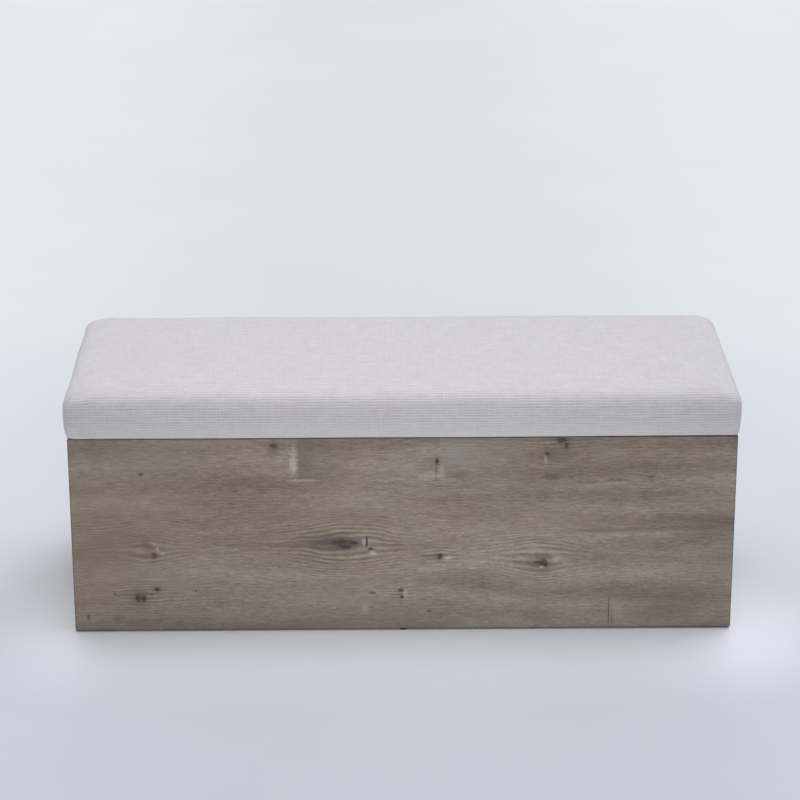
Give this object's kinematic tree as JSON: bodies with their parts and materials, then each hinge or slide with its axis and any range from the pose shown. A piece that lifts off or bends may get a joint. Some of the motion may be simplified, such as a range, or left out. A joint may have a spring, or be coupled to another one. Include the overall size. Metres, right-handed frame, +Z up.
{
  "type": "upholstered storage bench",
  "caption": "Long storage bench of wood-look boards with a padded fabric lid that opens on rear hinges, held by gas struts.",
  "frame": {"origin": "on the floor below the middle of the bench's bounding box", "axes": "+Z up, +X along the bench's length to the right of someone who faces its front, +Y towards the back, where the hinges are"},
  "size_m": [1.222, 0.469, 0.469],
  "materials": {
    "oak_board": "satin",
    "raw_board": "matte",
    "pale_wood": "matte",
    "zinc": "satin",
    "bright_steel": "polished",
    "black_plastic": "matte",
    "clear_rubber": "satin",
    "black_tube": "satin",
    "foam": "matte",
    "cover_fabric": "matte",
    "lining": "matte"
  },
  "bodies": {
    "carcass": {"front_panel": "oak_board", "back_panel": "oak_board", "left_side_panel": "oak_board", "right_side_panel": "oak_board", "bottom_panel": "oak_board", "front_cleat": "pale_wood", "back_cleat": "pale_wood", "left_cleat": "pale_wood", "right_cleat": "pale_wood", "cam_front_left_lower": "zinc", "cam_front_left_upper": "zinc", "cam_front_right_lower": "zinc", "cam_front_right_upper": "zinc", "cam_back_left_lower": "zinc", "cam_back_left_upper": "zinc", "cam_back_right_lower": "zinc", "cam_back_right_upper": "zinc", "cam_bolt_front_left_lower": "zinc", "cam_bolt_front_left_upper": "zinc", "cam_bolt_front_right_lower": "zinc", "cam_bolt_front_right_upper": "zinc", "cam_bolt_back_left_lower": "zinc", "cam_bolt_back_left_upper": "zinc", "cam_bolt_back_right_lower": "zinc", "cam_bolt_back_right_upper": "zinc", "glide_front_left": "black_plastic", "glide_front_right": "black_plastic", "glide_back_left": "black_plastic", "glide_back_right": "black_plastic", "glide_front_middle": "black_plastic", "glide_back_middle": "black_plastic", "lid_bumper_left": "clear_rubber", "lid_bumper_middle": "clear_rubber", "lid_bumper_right": "clear_rubber", "hinge_left_box_leaf": "zinc", "hinge_middle_box_leaf": "zinc", "hinge_right_box_leaf": "zinc", "hinge_left_pin": "bright_steel", "hinge_middle_pin": "bright_steel", "hinge_right_pin": "bright_steel", "left_strut_box_bracket": "zinc", "right_strut_box_bracket": "zinc"},
    "lid": {"lid_board": "raw_board", "seat_foam": "foam", "seat_cover": "cover_fabric", "lid_lining": "lining", "hinge_left_lid_leaf": "zinc", "hinge_middle_lid_leaf": "zinc", "hinge_right_lid_leaf": "zinc", "left_strut_lid_bracket": "zinc", "right_strut_lid_bracket": "zinc"},
    "left_tube": {"left_strut_tube": "black_tube", "left_strut_tube_socket": "black_plastic"},
    "left_rod": {"left_strut_rod": "bright_steel", "left_strut_rod_socket": "black_plastic"},
    "right_tube": {"right_strut_tube": "black_tube", "right_strut_tube_socket": "black_plastic"},
    "right_rod": {"right_strut_rod": "bright_steel", "right_strut_rod_socket": "black_plastic"}
  },
  "joints": [
    {"name": "lid_hinge", "type": "hinge", "parent": "carcass", "child": "lid", "pos_m": [0, 0.23, 0.37725], "axis": [-1, 0, 0], "range_deg": [0, 80]},
    {"name": "left_tube_pivot", "type": "hinge", "parent": "carcass", "child": "left_tube", "pos_m": [-0.56, 0.19, 0.19151], "axis": [-1, 0, 0], "range_deg": [0, 40]},
    {"name": "left_rod_pivot", "type": "hinge", "parent": "lid", "child": "left_rod", "pos_m": [-0.56, 0.04052, 0.36325], "axis": [-1, 0, 0], "range_deg": [-40, 0]},
    {"name": "right_tube_pivot", "type": "hinge", "parent": "carcass", "child": "right_tube", "pos_m": [0.56, 0.19, 0.19151], "axis": [-1, 0, 0], "range_deg": [0, 40]},
    {"name": "right_rod_pivot", "type": "hinge", "parent": "lid", "child": "right_rod", "pos_m": [0.56, 0.04052, 0.36325], "axis": [-1, 0, 0], "range_deg": [-40, 0]}
  ],
  "couplings": [
    {"joint": "left_tube_pivot", "follows": "lid_hinge", "ratio": 0.5},
    {"joint": "left_rod_pivot", "follows": "lid_hinge", "ratio": -0.5},
    {"joint": "right_tube_pivot", "follows": "lid_hinge", "ratio": 0.5},
    {"joint": "right_rod_pivot", "follows": "lid_hinge", "ratio": -0.5}
  ]
}
